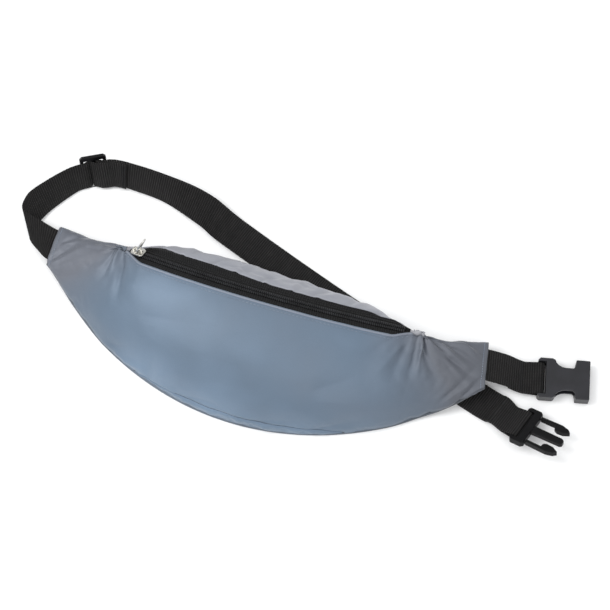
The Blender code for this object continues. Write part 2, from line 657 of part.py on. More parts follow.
def plug_arm(name, side, finish):
    """A springy arm with a barb, rooted on the plug's frame. Its origin is where it bends."""
    root = Vector((11.3, 12.4, 0))
    shape = [(10.6, 11.3), (23.0, 11.4), (23.6, 8.6), (26.0, 7.4), (31.5, 7.8), (36.0, 10.2),
             (33.5, 12.6), (28.0, 14.0), (22.5, 13.9), (10.6, 13.5)]
    outline = [((x - root.x) * MM, (y - root.y) * side * MM) for x, y in shape]
    mesh = outline_mesh(outline, 4.4 * MM, bevel=0.45 * MM)
    place = MALE_PLACE @ Matrix.Translation((root.x * MM, side * root.y * MM, 0))
    return add(name, mesh, finish, place)


# ---------------------------------------------------------------- build

def build():
    cloth = material("cloth", (0.30, 0.38, 0.47), 0.5)
    lining = material("lining", (0.26, 0.30, 0.35), 0.8)
    webbing = material("webbing", (0.015, 0.015, 0.017), 0.85)
    zipper = material("zipper", (0.02, 0.02, 0.022), 0.7)
    thread = material("thread", (0.03, 0.03, 0.035), 0.8)
    plastic = material("plastic", (0.045, 0.045, 0.052), 0.45)
    metal = material("metal", (0.78, 0.77, 0.74), 0.3, 1.0)

    front_panel(cloth)
    top_panel(cloth)
    bottom_gusset(cloth)
    back_panel(lining)
    seam_binding(lining)
    zip_tape("zip_tape_front", -1, zipper)
    zip_tape("zip_tape_rear", 1, zipper)
    zip_coil("zip_coil_front", -1, zipper)
    zip_coil("zip_coil_rear", 1, zipper)
    zip_slider(metal)
    zip_pull(metal)
    zip_stop("zip_stop_left", -ZIP_ANGLE * 0.97, metal)
    zip_stop("zip_stop_right", ZIP_ANGLE * 0.97, metal)
    end_tab("zip_end_tab_left", -1, cloth)
    end_tab("zip_end_tab_right", 1, cloth)
    lay = long_belt_lay()
    long_belt(lay, webbing)
    adjuster(lay, plastic)
    slider = lay.length_at[ADJUSTER_RULING] + ADJUSTER_AT
    bartack("adjuster_loop_bartack", lay, slider + 24 * MM, 2 * LAYER + WEBBING / 2 + 0.6 * MM, thread)
    short_lay, bar = short_belt(webbing)
    bartack("socket_loop_bartack", short_lay, bar - 15 * MM, WEBBING / 2 + 0.6 * MM, thread)
    socket(plastic)
    plug(plastic)
    plug_arm("plug_arm_upper", 1, plastic)
    plug_arm("plug_arm_lower", -1, plastic)


clear_scene()
PARTS = collection("waist_bag")
CUTTERS = collection("cutters")
build()
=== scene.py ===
"""The waist bag's looks: creased cloth panels, ribbed webbing, zip teeth, stitching, and a plain studio."""

import json
import math

import bmesh
import bpy
from mathutils import Matrix, Vector, noise


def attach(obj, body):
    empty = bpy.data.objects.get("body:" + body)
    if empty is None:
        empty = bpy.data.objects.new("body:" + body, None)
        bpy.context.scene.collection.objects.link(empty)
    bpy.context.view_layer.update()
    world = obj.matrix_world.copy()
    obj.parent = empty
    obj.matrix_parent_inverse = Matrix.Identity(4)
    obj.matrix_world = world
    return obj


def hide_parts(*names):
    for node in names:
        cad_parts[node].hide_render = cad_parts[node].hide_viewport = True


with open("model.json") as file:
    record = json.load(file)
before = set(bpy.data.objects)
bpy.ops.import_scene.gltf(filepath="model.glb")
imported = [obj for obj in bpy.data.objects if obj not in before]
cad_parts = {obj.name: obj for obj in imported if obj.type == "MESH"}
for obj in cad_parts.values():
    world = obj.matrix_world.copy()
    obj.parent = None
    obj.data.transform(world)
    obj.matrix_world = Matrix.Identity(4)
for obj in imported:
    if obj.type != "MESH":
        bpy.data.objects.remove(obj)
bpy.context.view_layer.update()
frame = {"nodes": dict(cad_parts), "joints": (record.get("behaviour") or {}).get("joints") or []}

MM = 0.001
HALF_LENGTH = 176 * MM

# The bag's shape, as the frame has it. (Y, Z) in millimetres from the lower seam over the front, the zip's
# two lips (points 5 and 7) and the top panel to the upper seam. A place on it is x and k, where k counts
# the steps along these points.
MIDDLE = [(-64, 1.9), (-62.5, 13), (-53, 31), (-35, 46), (-12, 55), (14, 58),
          (23, 54.5), (32, 51), (43.5, 42), (51, 29), (53.5, 14), (51.5, 1.9)]
AT_ZIP_END = [(-32.5, 1.9), (-31.5, 9), (-24, 21), (-11, 31), (5, 38.5), (24, 43),
              (33, 39.5), (42, 36), (44.9, 30.4), (46, 21.5), (45.8, 11), (44, 1.9)]
IN_WING = [(-10.5, 1.9), (-9.5, 6.5), (-4, 13), (5, 19), (15, 23), (25, 25),
           (30, 25), (35, 23.5), (39.5, 20), (42, 15), (43, 8.5), (42.5, 1.9)]
AT_SEAM = [(14.6, 5), (15.1, 6.3), (17.2, 7.2), (21, 7.7), (25.5, 7.9), (30.5, 8),
           (34, 8), (38, 7.9), (41.5, 7.7), (44.5, 7.2), (46.1, 6.3), (46.5, 5)]
WING_X = 145 * MM
LIP, UPPER_LIP, TOP_SEAM = 5, 7, 11
GUSSET_HALF, GUSSET_HEIGHT = 84 * MM, 0.95
NOTCH = 117 * MM
END_LIFT = {-1: 5 * MM, 1: 9 * MM}
BELT_RISE = 3.5 * MM
BELT_UNDER = (Vector((-44, 83.9, 0)) * MM, Vector((171.8, 9.5, 0)) * MM)
SKEW_FROM, SKEW = 130 * MM, Vector((-6.2, 3.7)) * MM  # the right end is askew
SEAM_LOW, SEAM_HIGH = 15 * MM, 46 * MM

# The zip lies on a circle about the axis that its slider turns on.
ZIP_HALF, ZIP_SAG = 114 * MM, 18 * MM
OUT = Vector((0, -10, 15)).normalized()
ZIP_AXIS = Vector((0, OUT.z, -OUT.y))
ZIP_RADIUS = (ZIP_HALF**2 + ZIP_SAG**2) / (2 * ZIP_SAG)
ZIP_ANGLE = math.asin(ZIP_HALF / ZIP_RADIUS)
ZIP_CENTRE = Vector((0, 22.3 * MM, 52.6 * MM)) - ZIP_RADIUS * OUT
TAPE_TILT = math.radians(35.1)
TAPE = 0.8 * MM

CLOTH_SKIN, BACK_SKIN, TAPE_SKIN, PIPING_SKIN = 0.8 * MM, 1 * MM, 0.75 * MM, 0.2 * MM
HEM = 0.9 * MM  # radius of the folded edge along the zip
HEM_STEPS = 7
SEAM_GAP = 0.008  # steps of k from the gusset's seam to the cloth on each side of it
THREAD_PITCH = 0.00045  # of the cloth's weave
RIB_PITCH, WARP_PITCH = 0.0018, 0.0012  # of the webbing
TOOTH_PITCH, TOOTH = 1.5 * MM, (0.62 * MM, 1.45 * MM, 0.88 * MM)

BELT_WIDTH, WEBBING, LAYER = 25.4 * MM, 1.3 * MM, 1.7 * MM
BAR_RADIUS = 1.6 * MM
LOOP_RADIUS = BAR_RADIUS + 0.35 * MM + WEBBING / 2
BELT_PAST_BAR = 5 * MM  # how far a belt's lay runs on past its buckle's bar

CAMERA_AZIMUTH, CAMERA_ELEVATION, CAMERA_DISTANCE = math.radians(17.2), math.radians(68), 1.6
CAMERA_TARGET = Vector((0.0273, 0.0365, 0.020))
CAMERA_WIDTH = 0.4667  # the width that it sees at its target


# ---------------------------------------------------------------- shape functions

def smooth(value):
    value = min(max(value, 0), 1)
    return value * value * (3 - 2 * value)


def spread(low, high, count):
    return [low + (high - low) * i / count for i in range(count + 1)]


def catmull(before, start, end, after, t):
    return 0.5 * (2 * start + (end - before) * t + (2 * before - 5 * start + 4 * end - after) * t * t
                  + (3 * start - before - 3 * end + after) * t**3)


def end_lift(x):
    return END_LIFT[1 if x > 0 else -1] * smooth((abs(x) - 0.66 * HALF_LENGTH) / (0.34 * HALF_LENGTH))


def belt_rise(x, y):
    start, end = BELT_UNDER
    way = (end - start).normalized()
    off = Vector((x, y, 0)) - start
    distance = (off - way * off.dot(way)).length
    return BELT_RISE * (1 - smooth((distance - 20 * MM) / (13 * MM)))


def skewed(x, y):
    share = smooth((x - SKEW_FROM) / (HALF_LENGTH - SKEW_FROM)) * (y - SEAM_LOW) / (SEAM_HIGH - SEAM_LOW)
    return Vector((x, y)) + SKEW * share


def draped(x, y, z):
    place = skewed(x, y)
    rise = belt_rise(*place) * (1 - smooth((z - 3 * MM) / (26 * MM)))
    return Vector((*place, z + math.hypot(end_lift(x), rise)))


def bow(x):
    return (ZIP_RADIUS - math.sqrt(ZIP_RADIUS**2 - x * x)) / ZIP_SAG


def section(x):
    """The cross-section's control points at x, as (Y, Z) vectors."""
    x = min(abs(x), HALF_LENGTH)
    middle, zip_end, wing, seam = (
        [Vector(p) * MM for p in ring] for ring in (MIDDLE, AT_ZIP_END, IN_WING, AT_SEAM))
    if x <= ZIP_HALF:
        share = bow(x)
        return [a + (b - a) * share for a, b in zip(middle, zip_end)]
    step = WING_X - ZIP_HALF
    if x <= WING_X:
        t = (x - ZIP_HALF) / step
        share = bow(ZIP_HALF - step)
        before = [a + (b - a) * share for a, b in zip(middle, zip_end)]
        return [catmull(a, b, c, d, t) for a, b, c, d in zip(before, zip_end, wing, seam)]
    t = (x - WING_X) / (HALF_LENGTH - WING_X)
    return [catmull(a, b, c, c + (c - b) * 0.6, t) for a, b, c in zip(zip_end, wing, seam)]


def surface(x, k):
    """The bag's outer surface at x, k steps along the cross-section."""
    ring = section(x)
    i = min(int(k), TOP_SEAM - 1)
    before = ring[i - 1] if i else 2 * ring[0] - ring[1]
    after = ring[i + 2] if i + 2 <= TOP_SEAM else 2 * ring[-1] - ring[-2]
    y, z = catmull(before, ring[i], ring[i + 1], after, k - i)
    return draped(x, y, z)


def surface_normal(x, k):
    step = 0.02
    side = 1 * MM if x < HALF_LENGTH - 1 * MM else -1 * MM
    here = surface(x, k)
    along = (surface(x + side, k) - here) * (1 if side > 0 else -1)
    up = surface(x, min(k + step, TOP_SEAM)) - surface(x, max(k - step, 0))
    return along.cross(up).normalized()


def zip_frame(angle):
    """A place on the zip: local X along the chain, Y in the tape towards the top panel, Z out of the tape."""
    turn = Matrix.Rotation(angle, 3, ZIP_AXIS)
    out = turn @ OUT
    to_lip = math.cos(TAPE_TILT) * out - math.sin(TAPE_TILT) * ZIP_AXIS
    x = (turn @ Vector((1, 0, 0))).normalized()
    z = x.cross(-to_lip).normalized()
    y = z.cross(x)
    return Matrix.Translation(ZIP_CENTRE + ZIP_RADIUS * out) @ Matrix((x, y, z)).transposed().to_4x4()


# ---------------------------------------------------------------- how the cloth is drawn in round the zip

def bump(value):
    return smooth(1 - abs(value))


def closing(x):
    """0 along the zip, 1 just past its ends, where the cloth closes over it, and 0 again in the wings."""
    return smooth((abs(x) - 97 * MM) / (17 * MM)) * (1 - smooth((abs(x) - 118 * MM) / (20 * MM)))


def lip_move(x, side):
    """From the panel's edge to where the closing cloth brings it, close beside the zip's chain."""
    angle = math.asin(min(max(x / ZIP_RADIUS, -0.33), 0.33))
    target = zip_frame(angle) @ Vector((0, side * 2.4 * MM, 2.0 * MM))
    return target - surface(math.copysign(min(abs(x), HALF_LENGTH), x), LIP if side < 0 else UPPER_LIP)


def drawn_in(x, k):
    """How far the cloth at x and k is drawn in at the zip's ends, and let out along its upper edge."""
    move = Vector((0, 0, 0))
    share = closing(x)
    if share > 0 and k > 3.2:
        front = smooth((k - 3.2) / 1.8) * (1 - smooth(k - LIP))
        rear = smooth(k - 6) * (1 - smooth((k - UPPER_LIP) / 1.6))
        ridge = bump((k - 6) / 1.2) * 2.2 * MM
        move += share * (front * lip_move(x, -1) + rear * lip_move(x, 1) + ridge * OUT)
    if k > 6.2:
        behind = smooth((k - 6.2) / 0.9) * (1 - smooth((k - 9.3) / 1.6))
        x = x / MM
        amount = 2.6 * bump((x + 52) / 60) - 7.0 * bump((x - 113) / 42) - 4.5 * bump((x + 118) / 34)
        move += behind * amount * MM * Vector((0, 0.927, 0.375))
    return move


# ---------------------------------------------------------------- creases

# Each crease: start (x in mm, k), end (x, k), half-width and depth in mm. A negative depth is a ridge.
CREASES = [
    # the pucker at the zip's left end
    ((-115, 5.5), (-115, 4.3), 2.3, 4.0), ((-112, 4.5), (-108, 3.3), 3.4, 1.7),
    ((-120, 5.0), (-126, 3.8), 3.8, 1.3), ((-111, 4.9), (-104, 4.4), 2.6, -1.1),
    ((-116, 5.6), (-132, 4.9), 3.2, 1.6), ((-118, 6.6), (-136, 6.4), 3.0, 1.2),
    # across the left wing, from the seam's lower corner up to the top
    ((-172, 2.8), (-148, 8.0), 3.6, 2.0), ((-168, 1.6), (-140, 5.0), 6.0, -1.2),
    ((-166, 6.2), (-146, 9.2), 3.0, 1.4),
    # down and out from the zip's right end, and one under its tab, which keeps the tab clear of the pull
    ((118, 5.7), (129, 4.3), 2.2, 3.4), ((115, 4.7), (119, 3.9), 2.4, -1.3),
    ((111, 4.4), (108, 3.3), 4.8, 2.2), ((116, 4.9), (120, 3.5), 3.0, 2.2),
    ((122, 4.6), (127, 3.3), 3.0, -1.6), ((121, 6.5), (139, 5.4), 2.2, 2.4),
    ((124, 7.0), (144, 6.2), 2.0, -1.6), ((128, 7.4), (150, 6.6), 2.2, 2.0),
    ((100, 4.9), (86, 4.1), 3.6, 0.9), ((128, 4.6), (140, 3.2), 3.0, 1.4),
    ((115, 5.3), (115, 6.7), 3.6, 2.0),
    # across the right wing
    ((134, 6.6), (168, 4.4), 2.4, 1.9), ((142, 7.6), (170, 6.4), 2.4, -1.4),
    ((146, 4.8), (170, 2.8), 3.0, 1.6), ((152, 8.4), (172, 6.6), 2.4, 1.4),
    ((150, 2.0), (172, 5.4), 3.0, 1.2), ((162, 1.2), (174, 3.4), 2.6, 1.2),
    # soft dents low on the front
    ((-104, 1.2), (-84, 2.2), 8.0, 1.5), ((-72, 0.9), (-66, 2.3), 6.0, 1.3),
    ((-92, 0.8), (-76, 1.2), 4.0, -1.1), ((-40, 1.0), (-6, 1.5), 6.0, 0.9),
    ((20, 1.0), (52, 1.4), 6.0, 1.0), ((66, 0.9), (92, 1.4), 6.0, 1.2),
    ((-20, 2.2), (40, 2.6), 16.0, 0.9), ((-80, 3.4), (-30, 3.9), 14.0, 0.8),
    ((60, 2.8), (92, 3.6), 11.0, 1.2),
    # the top panel's crumples
    ((-92, 7.4), (-74, 9.4), 3.4, 1.8), ((-70, 7.3), (-62, 9.8), 4.0, -1.4),
    ((-46, 7.3), (-34, 8.8), 3.4, 1.9), ((-26, 7.4), (-12, 9.6), 4.0, -1.5),
    ((-6, 7.3), (8, 8.6), 3.2, 1.9), ((18, 7.3), (26, 9.4), 3.6, -1.3), ((34, 7.3), (52, 8.8), 3.4, 1.7),
    ((62, 7.3), (70, 9.4), 3.6, 1.3), ((84, 7.3), (98, 8.8), 3.0, 1.5),
    ((-56, 8.2), (-20, 8.9), 3.6, 1.3), ((14, 8.3), (58, 9.0), 3.6, 1.2),
    ((-30, 7.5), (30, 7.9), 3.0, 0.9),
]


def crease_lines():
    lines = []
    for (x0, k0), (x1, k1), half_width, depth in CREASES:
        start, end = surface(x0 * MM, k0), surface(x1 * MM, k1)
        lines.append((start, end - start, half_width * MM, depth * MM))
    return lines


LINES = crease_lines()


def fold_shape(across):
    """A crease's cross-section: two flat sides that meet in a tight fold."""
    return max(0, 1 - abs(across) / 1.7) ** 1.35


def creased(point, normal):
    """How far the creases move a point along its normal."""
    total = 0.0
    for start, way, half_width, depth in LINES:
        length = way.length
        along = (point - start).dot(way) / (length * length)
        if along < -0.25 or along > 1.3:
            continue
        off = point - start - way * along
        if off.length > 4 * half_width:
            continue
        across = off.dot(way.cross(normal).normalized()) / (half_width * (0.55 + 0.9 * max(along, 0)))
        fade = smooth((along + 0.25) / 0.3) * smooth((1.3 - along) / 0.9)
        valley = fold_shape(across) - 0.5 * fold_shape((across - 1.8) * 1.2)
        total -= depth * fade * valley
    return total


def crumple(point, scale, seed):
    """Sharp folds between flat facets."""
    place = point / scale + Vector((0, seed, 0))
    return abs(noise.noise(place)) + 0.45 * abs(noise.noise(place * 2.3)) - 0.3


def crumpled(x, k):
    """How much the cloth is crumpled, from 0 to 1: most round the zip's ends and on the top panel."""
    x = x / MM
    ends = max(bump((x - 122) / 40), 0.8 * bump((x + 122) / 36)) * bump((k - 5.4) / 4.2)
    top = smooth((k - 6.8) / 1.2) * (1 - smooth((abs(x) - 120) / 30))
    wings = 0.45 * smooth((abs(x) - 125) / 25)
    foot = 0.5 * (1 - smooth((k - 0.6) / 1.4))
    return min(1, 0.06 + ends + 0.55 * top + wings + foot)


def rumple(point, scale, seed):
    """Soft unevenness, between about -1 and 1."""
    place = point / scale + Vector((seed, 0, 0))
    return noise.noise(place) + 0.5 * noise.noise(place * 2.1)


# ---------------------------------------------------------------- making objects

def link(name, data, material):
    obj = bpy.data.objects.new(name, data)
    bpy.context.scene.collection.objects.link(obj)
    obj.data.materials.append(material)
    obj.data.shade_smooth()
    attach(obj, "bag")
    return obj


def mesh_from(shape, name):
    data = bpy.data.meshes.new(name)
    shape.to_mesh(data)
    shape.free()
    return data


def thicken(obj, thickness):
    """Gives the cloth its thickness, on its inner side."""
    skin = obj.modifiers.new("Solidify", "SOLIDIFY")
    skin.thickness = thickness
    skin.offset = -1
    skin.use_even_offset = False


def everywhere(_i, _j):
    return True


def panel_mesh(name, columns, uvs, joined=everywhere):
    """A mesh from columns of points; joined(i, j) says whether the cell from (i, j) has a face."""
    shape = bmesh.new()
    layer = shape.loops.layers.uv.new("UVMap")
    made = [[shape.verts.new(point) for point in column] for column in columns]
    place = {vert: uvs[i][j] for i, column in enumerate(made) for j, vert in enumerate(column)}
    for i in range(len(columns) - 1):
        for j in range(min(len(columns[i]), len(columns[i + 1])) - 1):
            if not joined(i, j):
                continue
            face = shape.faces.new((made[i][j], made[i + 1][j], made[i + 1][j + 1], made[i][j + 1]))
            for loop in face.loops:
                loop[layer].uv = place[loop.vert]
    loose = [vert for vert in shape.verts if not vert.link_faces]
    bmesh.ops.delete(shape, geom=loose, context="VERTS")
    return mesh_from(shape, name)


def cloth_point(x, k, proud=0.0):
    """A point of the cloth, with its creases, the gusset's sunken seam and a little unevenness."""
    base = surface(x, k)
    normal = surface_normal(x, k)
    height = creased(base, normal) + 0.5 * MM * rumple(base, 34 * MM, 3.7)
    height += 2.3 * MM * crumpled(x, k) * crumple(base, 19 * MM, 2.2)
    if abs(x) < GUSSET_HALF:
        height -= 1.1 * MM * math.exp(-((k - gusset_top(x)) * 21 / 1.9) ** 2)
    return base + drawn_in(x, k) + normal * (height + proud)


# ---------------------------------------------------------------- materials

def nodes_of(name):
    """A new material, its node tree and its shader."""
    made = bpy.data.materials.new(name)
    made.use_nodes = True
    tree = made.node_tree
    return made, tree, tree.nodes["Principled BSDF"]


def node(tree, kind, inputs=None, **settings):
    made = tree.nodes.new(kind)
    for key, value in settings.items():
        setattr(made, key, value)
    for key, value in (inputs or {}).items():
        if isinstance(value, bpy.types.NodeSocket):
            tree.links.new(value, made.inputs[key])
        else:
            made.inputs[key].default_value = value
    return made


def ramp(tree, factor, stops):
    made = node(tree, "ShaderNodeValToRGB", {"Fac": factor})
    elements = made.color_ramp.elements
    while len(elements) < len(stops):
        elements.new(0.5)
    for element, (place, colour) in zip(elements, stops):
        element.position = place
        element.color = (*colour, 1)
    return made.outputs["Color"]


def maths(tree, operation, a, b=0.0):
    return node(tree, "ShaderNodeMath", {0: a, 1: b}, operation=operation).outputs[0]


def scaled(tree, value, add, times):
    """(value + add) * times"""
    return maths(tree, "MULTIPLY", maths(tree, "ADD", value, add), times)


def cloud(tree, place, scale, detail, **inputs):
    """A noise texture's value."""
    inputs = {"Vector": place, "Scale": scale, "Detail": detail, **inputs}
    return node(tree, "ShaderNodeTexNoise", inputs).outputs["Fac"]


def bands(tree, uv, axis, pitch, distortion, **inputs):
    """A wave for each thread, at its pitch in metres."""
    inputs = {"Vector": uv, "Scale": math.pi / 10 / pitch, "Distortion": distortion, **inputs}
    wave = node(tree, "ShaderNodeTexWave", inputs, wave_type="BANDS", bands_direction=axis)
    return wave.outputs["Fac"]


def relief(tree, height, strength, distance, **inputs):
    """A bump's normal."""
    inputs = {"Height": height, "Strength": strength, "Distance": distance, **inputs}
    return node(tree, "ShaderNodeBump", inputs).outputs["Normal"]


def surfaced(tree, shader, colour, normal, rough_by, low, high):
    """Links a shader's colour and normal, and its roughness, from low to high with a pattern."""
    rough = node(tree, "ShaderNodeMapRange", {"Value": rough_by, "To Min": low, "To Max": high})
    tree.links.new(colour, shader.inputs["Base Color"])
    tree.links.new(normal, shader.inputs["Normal"])
    tree.links.new(rough.outputs["Result"], shader.inputs["Roughness"])


def srgb(r, g, b):
    """A colour given in 0 to 255, as the linear values that a shader takes."""
    shares = (c / 255 for c in (r, g, b))
    return tuple(c / 12.92 if c < 0.04045 else ((c + 0.055) / 1.055) ** 2.4 for c in shares)


def reflective_cloth(name, grey, blue):
    """Silver-blue reflective cloth over a fine plain weave. It drifts between a cool blue, brighter at the
    bag's foot as painted fill light, and a neutral grey, in the wings and towards the back. Its right end is
    darker: painted shade."""
    made, tree, shader = nodes_of(name)
    place = node(tree, "ShaderNodeTexCoord").outputs["Object"]
    drift = cloud(tree, place, 9.0, 3.0, Roughness=0.45)
    split = node(tree, "ShaderNodeSeparateXYZ", {"Vector": place})
    x, y = split.outputs["X"], split.outputs["Y"]
    out_and_up = maths(tree, "ADD", maths(tree, "MULTIPLY", maths(tree, "ABSOLUTE", x), 6.2),
                       scaled(tree, y, -0.02, 6.0))
    wing = maths(tree, "POWER", maths(tree, "MAXIMUM", out_and_up, 0.0), 4.0)
    high = maths(tree, "MAXIMUM", scaled(tree, y, -0.004, 6.5), 0.0)
    # painted fill light: towards the bag's foot the colour runs to a brighter blue, as a low light would make
    # it
    low = maths(tree, "MINIMUM", scaled(tree, y, 0.034, 12.0), 0.0)
    greyness = maths(tree, "ADD", maths(tree, "ADD", wing, high), scaled(tree, drift, -0.5, 1.1))
    total = maths(tree, "ADD", maths(tree, "MINIMUM", greyness, 1.0), maths(tree, "ADD", low, 0.33))
    # the blue made half as bright again: the colour of the painted fill light at the foot
    painted_lit_blue = tuple(1.5 * channel for channel in blue)
    colour = ramp(tree, total, [(0.0, painted_lit_blue), (0.3, blue), (1.0, grey)])
    speck = ramp(tree, cloud(tree, place, 1800.0, 2.0), [(0.3, (0.93, 0.93, 0.93)), (0.7, (1.0, 1.0, 1.0))])
    # painted shade: the cloth darkens towards the bag's right end
    shade = node(tree, "ShaderNodeMapRange", {"Value": x, "From Min": 0.1, "From Max": 0.155,
                                              "To Min": 1.0, "To Max": 0.76})
    tone = maths(tree, "MULTIPLY", speck, shade.outputs["Result"])
    mixed = node(tree, "ShaderNodeMix", {"Factor": 1.0, "A": colour, "B": tone}, data_type="RGBA",
                 blend_type="MULTIPLY")
    uv = node(tree, "ShaderNodeUVMap", uv_map="UVMap").outputs["UV"]
    weave = maths(tree, "MULTIPLY", *(bands(tree, uv, axis, THREAD_PITCH, 0.4) for axis in ("X", "Y")))
    fine = relief(tree, weave, 0.18, 0.00012)
    normal = relief(tree, cloud(tree, place, 120.0, 3.0), 0.25, 0.0006, Normal=fine)
    surfaced(tree, shader, mixed.outputs["Result"], normal, drift, 0.42, 0.58)
    shader.inputs["Metallic"].default_value = 0.2
    shader.inputs["Sheen Weight"].default_value = 0.15
    shader.inputs["Sheen Roughness"].default_value = 0.4
    return made


def webbing_material(name, colour, light, gloss):
    """Black ribbed webbing: ribs across it, each cut by the warp's fine lines, with paler tops as a painted
    highlight, mixed with a random mottle.
    """
    made, tree, shader = nodes_of(name)
    uv = node(tree, "ShaderNodeUVMap", uv_map="UVMap").outputs["UV"]
    ribs = bands(tree, uv, "Y", RIB_PITCH, 0.3, Detail=1.0)
    warp = bands(tree, uv, "X", WARP_PITCH, 0.4)
    mottle = cloud(tree, uv, 160.0, 4.0)
    height = maths(tree, "ADD", maths(tree, "MULTIPLY", ribs, warp), maths(tree, "MULTIPLY", ribs, 0.6))
    # painted highlight: the paler colour follows the ribs' height, with a random mottle added
    tone = maths(tree, "ADD", maths(tree, "MULTIPLY", height, 0.42), maths(tree, "MULTIPLY", mottle, 0.5))
    rib_highlight_and_mottle = ramp(tree, tone, [(0.3, colour), (0.95, light)])
    surfaced(tree, shader, rib_highlight_and_mottle, relief(tree, height, 0.9, 0.0005), mottle, 0.62, 0.8)
    shader.inputs["Specular IOR Level"].default_value = gloss
    shader.inputs["Sheen Weight"].default_value = 0.02
    shader.inputs["Sheen Roughness"].default_value = 0.5
    return made


def moulded(name, colour, light, roughness, gloss=0.4):
    """Moulded plastic or thread, with a very fine texture and slightly paler, rubbed patches."""
    made, tree, shader = nodes_of(name)
    place = node(tree, "ShaderNodeTexCoord").outputs["Object"]
    broad = cloud(tree, place, 70.0, 3.0)
    fine = cloud(tree, place, 2600.0, 2.0)
    rubbed = ramp(tree, broad, [(0.3, colour), (0.75, light)])
    surfaced(tree, shader, rubbed, relief(tree, fine, 0.25, 0.00008), broad, roughness - 0.06, roughness + 0.08)
    shader.inputs["Specular IOR Level"].default_value = gloss
    return made


def cast_metal(name):
    """Satin nickel plate with small scratches."""
    made, tree, shader = nodes_of(name)
    place = node(tree, "ShaderNodeTexCoord").outputs["Object"]
    broad = cloud(tree, place, 240.0, 4.0)
    colour = ramp(tree, broad, [(0.3, srgb(186, 184, 178)), (0.7, srgb(226, 225, 220))])
    surfaced(tree, shader, colour, relief(tree, broad, 0.2, 0.0001), broad, 0.22, 0.4)
    shader.inputs["Metallic"].default_value = 1.0
    return made


CLOTH = reflective_cloth("front_cloth", srgb(104, 108, 117), srgb(94, 111, 129))
TOP_CLOTH = reflective_cloth("top_cloth", srgb(154, 154, 161), srgb(145, 148, 156))
TAB_CLOTH = reflective_cloth("tab_cloth", srgb(162, 163, 168), srgb(150, 152, 158))
# painted highlight: a paler copy of the front cloth, for the rolled edge along the zip
PIPING_PAINTED_HIGHLIGHT = reflective_cloth("piping_painted_highlight", srgb(128, 133, 144), srgb(122, 130, 144))
BACK_CLOTH = reflective_cloth("back_cloth", srgb(96, 101, 108), srgb(92, 101, 112))
WEBBING_BLACK = webbing_material("webbing", srgb(2, 2, 2), srgb(48, 46, 46), 0.25)
TAPE_BLACK = webbing_material("zip_tape", srgb(6, 6, 7), srgb(34, 35, 36), 0.3)
TEETH = moulded("zip_teeth", srgb(20, 20, 22), srgb(42, 43, 46), 0.45)
PLASTIC = moulded("buckle_plastic", srgb(27, 27, 31), srgb(38, 38, 43), 0.34, 0.33)
DARK_PLASTIC = moulded("adjuster_plastic", srgb(8, 8, 9), srgb(17, 17, 19), 0.3, 0.13)
METAL = cast_metal("zip_metal")
THREAD = moulded("thread", srgb(22, 22, 24), srgb(44, 44, 47), 0.75)
PALE_THREAD = moulded("pale_thread", srgb(104, 114, 128), srgb(134, 142, 154), 0.7)


# ---------------------------------------------------------------- cloth panels

def gusset_top(x):
    """Where the gusset's seam is, in steps of the cross-section."""
    return GUSSET_HEIGHT * math.sqrt(max(0, 1 - (x / GUSSET_HALF) ** 2)) if abs(x) < GUSSET_HALF else 0


def rear_lip(x):
    """Where the top panel's edge is, in steps of the cross-section: further back at the zip's ends."""
    wave = 0.05 * rumple(Vector((x, 0, 0)), 24 * MM, 8.1)
    left, right = 0.42 * smooth((-x - 66 * MM) / (26 * MM)), 0.1 * smooth((x - 60 * MM) / (30 * MM))
    return UPPER_LIP + 0.2 + wave + left + right


def hem_points(x, side):
    """The folded edge of a panel along the zip: a half turn from the surface back into the bag."""
    k = LIP if side < 0 else rear_lip(x)
    edge = cloth_point(x, k)
    normal = surface_normal(x, k)
    towards = (surface(x, k + 0.05) - surface(x, k - 0.05)).normalized() * -side
    centre = edge - normal * HEM
    return [centre + normal * HEM * math.cos(a) + towards * HEM * 1.4 * math.sin(a)
            for a in spread(0, math.pi, HEM_STEPS)[1:]]


def front_panel():
    inner = spread(-ZIP_HALF, ZIP_HALF, 180)
    ends = spread(NOTCH, HALF_LENGTH, 50)
    xs = [-x for x in reversed(ends)] + inner + ends
    first, last = len(ends) - 1, len(ends) + len(inner) - 1
    lower, upper = ((80, 60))
    columns, uvs = [], []
    for i, x in enumerate(xs):
        low = gusset_top(x) + (SEAM_GAP if abs(x) < GUSSET_HALF else 0)
        ks = spread(low, LIP, lower)
        if i <= first or i > last:
            ks += spread(LIP, TOP_SEAM, upper)[1:]
        column = [cloth_point(x, k) for k in ks]
        if first < i <= last:
            column += hem_points(x, -1)
        columns.append(column)
        uvs.append([(x, j * 0.11 / lower) for j in range(len(column))])

    def joined(i, j):
        wing = i < first or i > last
        hem = first < i < last
        return j < lower or wing or hem

    data = panel_mesh("front_cloth", columns, uvs, joined)
    obj = link("front_cloth", data, CLOTH)
    thicken(obj, CLOTH_SKIN)
    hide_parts("front_panel")


def top_panel():
    columns, uvs = [], []
    for x in spread(-NOTCH + 0.8 * MM, NOTCH - 0.8 * MM, 130):
        column = [cloth_point(x, k) for k in spread(rear_lip(x), TOP_SEAM, 40)]
        columns.append(list(reversed(hem_points(x, 1))) + column)
        uvs.append([(x, j * 0.0022) for j in range(len(columns[-1]))])
    data = panel_mesh("top_cloth", columns, uvs)
    obj = link("top_cloth", data, TOP_CLOTH)
    thicken(obj, CLOTH_SKIN)
    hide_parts("top_panel")


